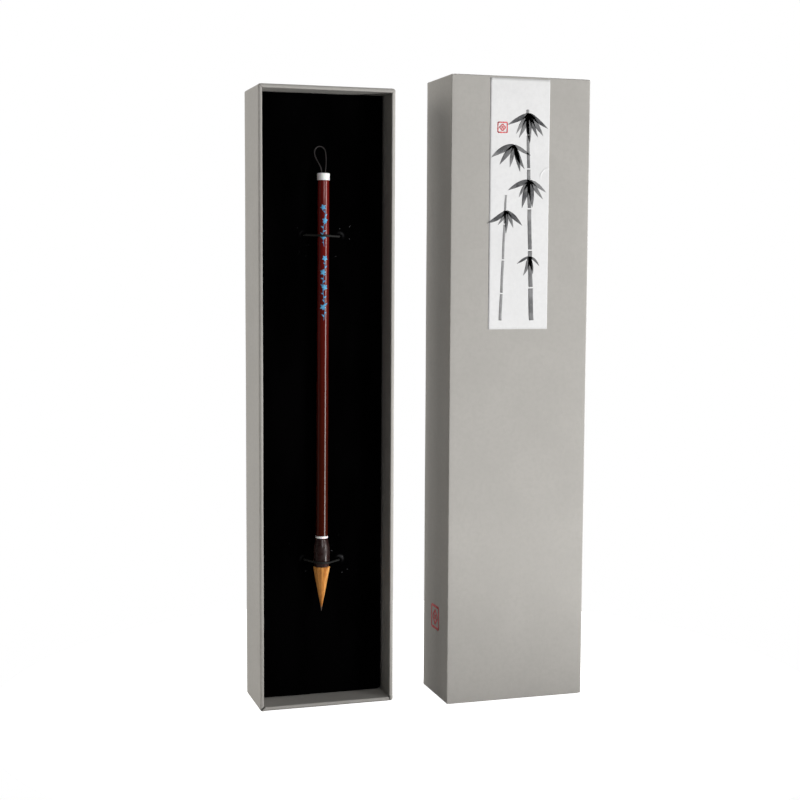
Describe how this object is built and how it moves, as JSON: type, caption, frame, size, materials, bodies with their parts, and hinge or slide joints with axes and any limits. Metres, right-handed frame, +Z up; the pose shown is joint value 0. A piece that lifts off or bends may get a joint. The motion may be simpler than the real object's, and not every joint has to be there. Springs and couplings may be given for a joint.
{
  "type": "calligraphy brush gift box",
  "caption": "Lift-off gift box for a calligraphy brush: an open paper-wrapped tray with a velvet insert and elastic bands that hold the brush, and its full-depth lid standing beside it.",
  "frame": {"origin": "on the ground, at the middle of the tray and lid as they stand side by side", "axes": "+Z up along both boxes, +X from the tray to the lid, -Y towards the viewer, out of the tray's open side"},
  "size_m": [0.1696, 0.0486, 0.32],
  "materials": {
    "greyboard": "matte",
    "grey_wrap": "matte",
    "liner_paper": "matte",
    "stay_tape": "matte",
    "label_paper": "matte",
    "foam": "matte",
    "velvet": "matte",
    "elastic": "satin",
    "lacquer": "gloss",
    "white_trim": "gloss",
    "dark_horn": "gloss",
    "hair": "satin",
    "thread": "matte",
    "loop_cord": "satin",
    "peg_wood": "matte"
  },
  "bodies": {
    "tray": {"tray_back_board": "greyboard", "tray_left_board": "greyboard", "tray_right_board": "greyboard", "tray_top_board": "greyboard", "tray_bottom_board": "greyboard", "tray_corner_stays": "stay_tape", "tray_wrap": "grey_wrap", "tray_liner": "liner_paper"},
    "lid": {"lid_face_board": "greyboard", "lid_left_board": "greyboard", "lid_right_board": "greyboard", "lid_top_board": "greyboard", "lid_bottom_board": "greyboard", "lid_corner_stays": "stay_tape", "lid_wrap": "grey_wrap", "lid_liner": "liner_paper", "lid_label": "label_paper"},
    "insert": {"insert_foam": "foam", "insert_velvet": "velvet", "upper_band": "elastic", "lower_band": "elastic"},
    "brush": {"brush_barrel": "lacquer", "brush_cap": "white_trim", "brush_ring": "white_trim", "brush_ferrule": "dark_horn", "hair_tuft": "hair", "hair_thread": "thread", "hanging_loop": "loop_cord", "loop_legs": "loop_cord", "loop_peg": "peg_wood"}
  },
  "joints": [
    {"name": "lid_draw", "type": "slide", "parent": "tray", "child": "lid", "axis": [0, -1, 0], "range_m": [-0.0091, 0.0265]},
    {"name": "insert_lift", "type": "slide", "parent": "tray", "child": "insert", "axis": [0, -1, 0], "range_m": [0, 0.034]},
    {"name": "brush_slide", "type": "slide", "parent": "insert", "child": "brush", "axis": [0.0059, 0.0052, 1], "range_m": [-0.027, 0.02]}
  ]
}
